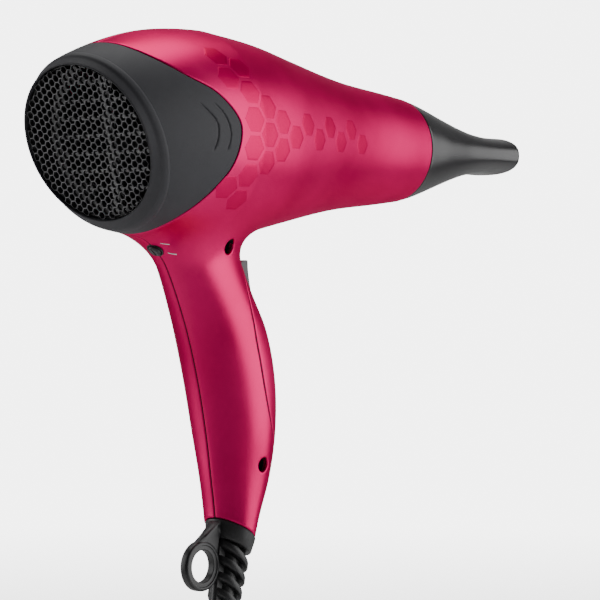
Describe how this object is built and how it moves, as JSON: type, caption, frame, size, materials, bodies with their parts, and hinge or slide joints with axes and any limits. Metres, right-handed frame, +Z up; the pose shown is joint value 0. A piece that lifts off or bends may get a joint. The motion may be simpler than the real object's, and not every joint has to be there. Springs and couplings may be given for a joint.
{
  "type": "hair dryer",
  "caption": "Hand-held hair dryer with a flared barrel, honeycomb air inlet, push-on concentrator nozzle, curved handle with rockers, hanging loop and hanked mains lead.",
  "frame": {"origin": "the middle of the hand grip, where a hand holds the dryer upright", "axes": "+X along the barrel towards the air outlet, +Z up, the handle hangs below the barrel, the shells meet in the plane y = 0"},
  "size_m": [0.292, 0.0902, 0.4717],
  "materials": {
    "pink_shell": "satin metallic pink lacquer over moulded plastic",
    "charcoal_cover": "matte charcoal soft-touch plastic",
    "black_grille": "black semi-gloss moulded plastic",
    "gloss_black": "gloss black heat-proof plastic",
    "steel": "plated steel",
    "mica": "layered silver-brown mica sheet",
    "heater_wire": "oxidised resistance wire",
    "brass": "bare brass",
    "black_moulding": "black moulded plastic",
    "grey_buttons": "mid grey moulded plastic",
    "live_insulation": "brown insulation",
    "neutral_insulation": "blue insulation",
    "black_rubber": "matte black flexible PVC"
  },
  "bodies": {
    "housing": {"body_shell_left": "pink_shell", "body_shell_right": "pink_shell", "handle_front_panel": "pink_shell", "inner_guard": "black_grille", "outlet_ring": "black_grille", "motor_can": "steel", "thermal_fuse": "steel", "clamp_screw_1": "steel", "clamp_screw_2": "steel", "shell_screw_upper": "steel", "shell_screw_lower": "steel", "heater_sleeve": "mica", "mica_board_upright": "mica", "mica_board_level": "mica", "heating_coil": "heater_wire", "thermostat": "brass", "plug_pin_1": "brass", "plug_pin_2": "brass", "fan_duct": "black_moulding", "motor_end_cap": "black_moulding", "switch_block": "black_moulding", "voltage_switch_body": "black_moulding", "cord_clamp": "black_moulding", "live_wire": "live_insulation", "neutral_wire": "neutral_insulation", "strain_relief": "black_rubber", "hanging_loop": "black_rubber", "cord_lead": "black_rubber", "cord_hank": "black_rubber", "cord_tie": "black_rubber", "plug_body": "black_rubber"},
    "fan": {"motor_shaft": "steel", "fan_impeller": "black_moulding"},
    "nozzle": {"concentrator_nozzle": "gloss_black"},
    "rear_cover": {"rear_cover": "charcoal_cover", "rear_grille": "black_grille"},
    "speed_rocker": {"speed_rocker": "grey_buttons"},
    "heat_rocker": {"heat_rocker": "grey_buttons"},
    "voltage_selector": {"voltage_selector": "grey_buttons"}
  },
  "joints": [
    {"name": "fan_spin", "type": "hinge", "parent": "housing", "child": "fan", "pos_m": [-0.05, 0, 0.107], "axis": [1, 0, 0], "continuous": true},
    {"name": "nozzle_turn", "type": "hinge", "parent": "housing", "child": "nozzle", "pos_m": [0.12, 0, 0.107], "axis": [1, 0, 0], "continuous": true},
    {"name": "rear_cover_pull", "type": "slide", "parent": "housing", "child": "rear_cover", "axis": [-1, 0, 0], "range_m": [0, 0.03]},
    {"name": "speed_rocker_tilt", "type": "hinge", "parent": "housing", "child": "speed_rocker", "pos_m": [0.0046, -0.0044, 0.04446], "axis": [0, -1, 0], "range_deg": [0, 20]},
    {"name": "heat_rocker_tilt", "type": "hinge", "parent": "housing", "child": "heat_rocker", "pos_m": [0.0046, 0.0044, 0.04446], "axis": [0, -1, 0], "range_deg": [0, 20]},
    {"name": "voltage_selector_turn", "type": "hinge", "parent": "housing", "child": "voltage_selector", "pos_m": [-0.0476, 0, 0.0574], "axis": [-0.6157, 0, -0.788], "range_deg": [0, 90]}
  ]
}
